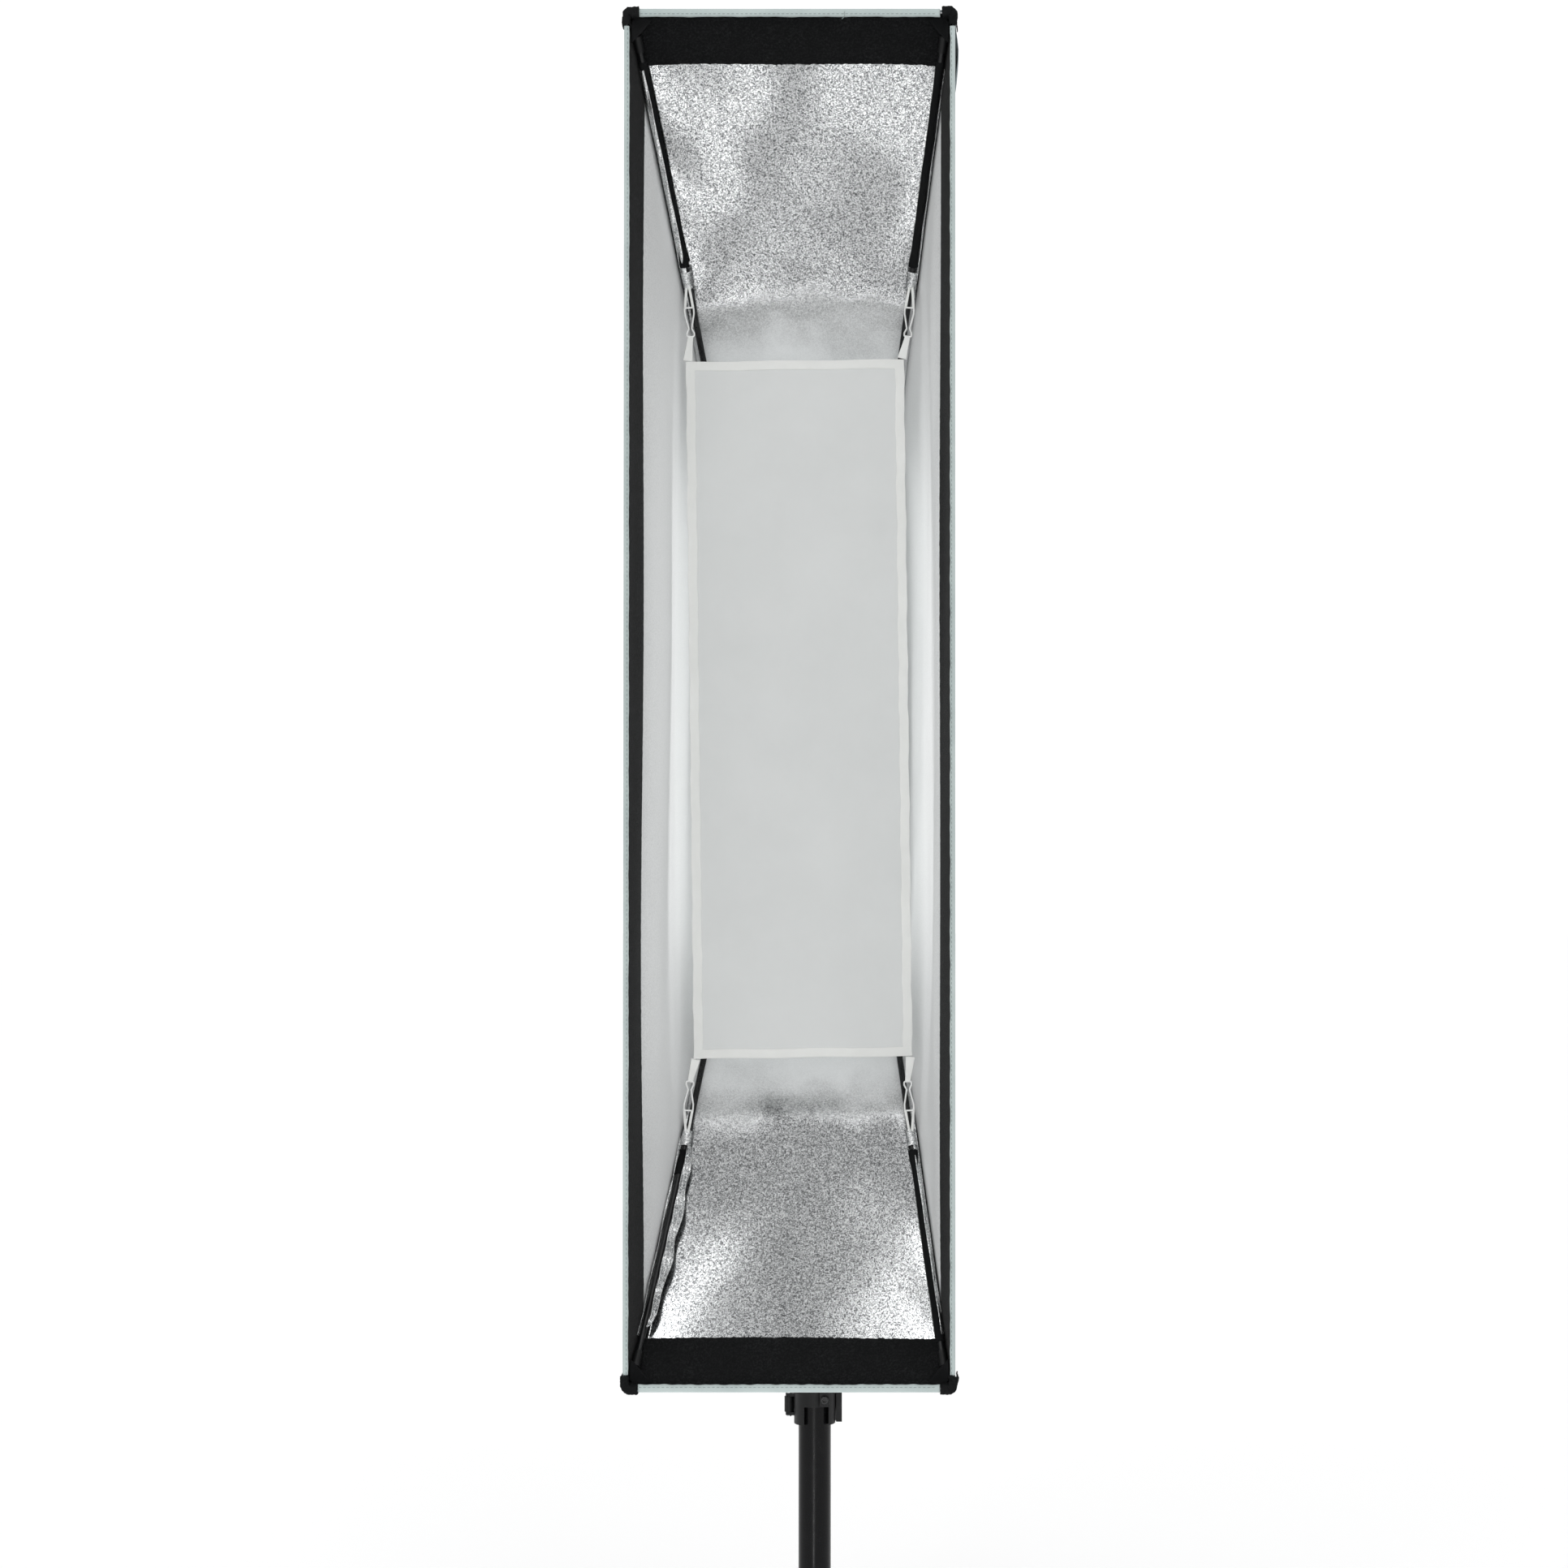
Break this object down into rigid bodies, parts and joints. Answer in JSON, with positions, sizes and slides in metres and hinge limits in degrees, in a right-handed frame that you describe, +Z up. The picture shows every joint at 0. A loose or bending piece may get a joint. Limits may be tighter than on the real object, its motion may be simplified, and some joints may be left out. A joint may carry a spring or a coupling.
{
  "type": "studio softbox",
  "caption": "Tall strip softbox with silver lining and inner diffuser, on a turning speedring, tilting bracket and telescoping column with a lever clamp.",
  "frame": {"origin": "centre of the open lower end of the column's foot socket", "axes": "+Z up along the column, out of the foot socket's blind end; the softbox's mouth faces -Y; +X is to the right of a viewer who looks into the mouth"},
  "size_m": [0.3094, 0.5117, 1.6382],
  "materials": {
    "outer_fabric": "pale grey woven polyester with a fine grain",
    "silver_lining": "metallised silver cloth, pebbled",
    "black_loop": "brushed loop tape, matt and fuzzy",
    "rim_tape": "grey binding tape with a stitch line",
    "black_fabric": "black woven polyester",
    "white_fabric": "white woven tape",
    "diffusion_cloth": "thin white diffusion cloth",
    "white_wire": "steel wire in a white plastic coat",
    "black_steel": "black oxide steel",
    "bright_steel": "bright zinc plate",
    "bare_aluminium": "turned and clear anodised",
    "black_aluminium": "fine black texture coat on aluminium",
    "black_tube": "gloss black coat on aluminium tube",
    "black_plastic": "moulded black nylon, fine spark texture"
  },
  "bodies": {
    "column_base": {"lower_tube": "black_tube", "column_foot": "black_plastic", "column_collar": "black_plastic", "clamp_screw": "black_steel", "collar_bush": "black_plastic", "lever_pin": "bright_steel"},
    "collar_lever": {"clamp_lever": "black_plastic"},
    "upper_column": {"upper_tube": "black_tube", "glide_ring": "black_plastic", "stand_spigot": "bright_steel"},
    "swivel_receiver": {"receiver": "black_plastic", "pivot_bolt": "bright_steel"},
    "receiver_knob": {"receiver_screw": "black_plastic"},
    "tilt_lever": {"tilt_handle": "black_plastic"},
    "bracket_head": {"bracket_ring": "black_plastic", "bracket_arm": "black_aluminium", "arm_screws": "black_steel", "latch_cover": "black_plastic", "latch_spring": "bright_steel", "speedring_insert": "bare_aluminium"},
    "latch": {"bayonet_latch": "black_plastic"},
    "softbox": {"shell_top": "outer_fabric", "shell_bottom": "outer_fabric", "shell_left": "outer_fabric", "shell_right": "outer_fabric", "lining_top": "silver_lining", "lining_bottom": "silver_lining", "lining_left": "silver_lining", "lining_right": "silver_lining", "loop_band_top": "black_loop", "loop_band_bottom": "black_loop", "loop_band_left": "black_loop", "loop_band_right": "black_loop", "rim_binding_top": "rim_tape", "rim_binding_bottom": "rim_tape", "rim_binding_left": "rim_tape", "rim_binding_right": "rim_tape", "corner_pocket_top_right": "black_fabric", "corner_pocket_top_left": "black_fabric", "corner_pocket_bottom_right": "black_fabric", "corner_pocket_bottom_left": "black_fabric", "rod_top_right": "black_steel", "rod_top_left": "black_steel", "rod_bottom_right": "black_steel", "rod_bottom_left": "black_steel", "rod_sleeves": "black_fabric", "rod_ferrules": "black_plastic", "anchor_tabs": "silver_lining", "tie_elastics": "white_fabric", "tie_hooks": "white_wire", "tie_ribbons": "white_fabric", "inner_diffuser": "diffusion_cloth", "diffuser_binding": "white_fabric", "rod_sockets": "bare_aluminium", "speedring_body": "black_aluminium", "speedring_retainer": "black_aluminium", "retainer_screws": "black_steel", "rear_cuff": "black_fabric"},
    "ring_knob": {"ring_lock_knob": "black_plastic"}
  },
  "joints": [
    {"name": "column_slide", "type": "slide", "parent": "column_base", "child": "upper_column", "axis": [0, 0, 1], "range_m": [-0.055, 0.12]},
    {"name": "clamp_lever_swing", "type": "hinge", "parent": "column_base", "child": "collar_lever", "pos_m": [-0.028, 0.004, 0.26325], "axis": [0, 0, 1], "range_deg": [0, 95]},
    {"name": "head_pan", "type": "hinge", "parent": "upper_column", "child": "swivel_receiver", "pos_m": [0, 0, 0.81], "axis": [0, 0, 1], "continuous": true},
    {"name": "receiver_screw_turn", "type": "hinge", "parent": "swivel_receiver", "child": "receiver_knob", "pos_m": [-0.03, 0, 0.815], "axis": [1, 0, 0], "continuous": true},
    {"name": "head_tilt", "type": "hinge", "parent": "swivel_receiver", "child": "bracket_head", "pos_m": [0, 0, 0.888], "axis": [1, 0, 0], "range_deg": [-75, 30]},
    {"name": "tilt_handle_turn", "type": "hinge", "parent": "swivel_receiver", "child": "tilt_lever", "pos_m": [0.02, 0, 0.888], "axis": [1, 0, 0], "range_deg": [-40, 40]},
    {"name": "latch_slide", "type": "slide", "parent": "bracket_head", "child": "latch", "axis": [1, 0, 0], "range_m": [0, 0.0045], "stiffness_N_per_m": 600, "springref_m": -0.002, "deforming": ["latch_spring"]},
    {"name": "ring_spin", "type": "hinge", "parent": "bracket_head", "child": "softbox", "pos_m": [0, -0.07, 1], "axis": [0, 1, 0], "continuous": true},
    {"name": "ring_lock_turn", "type": "hinge", "parent": "softbox", "child": "ring_knob", "pos_m": [0.09, -0.07, 1], "axis": [1, 0, 0], "continuous": true}
  ]
}
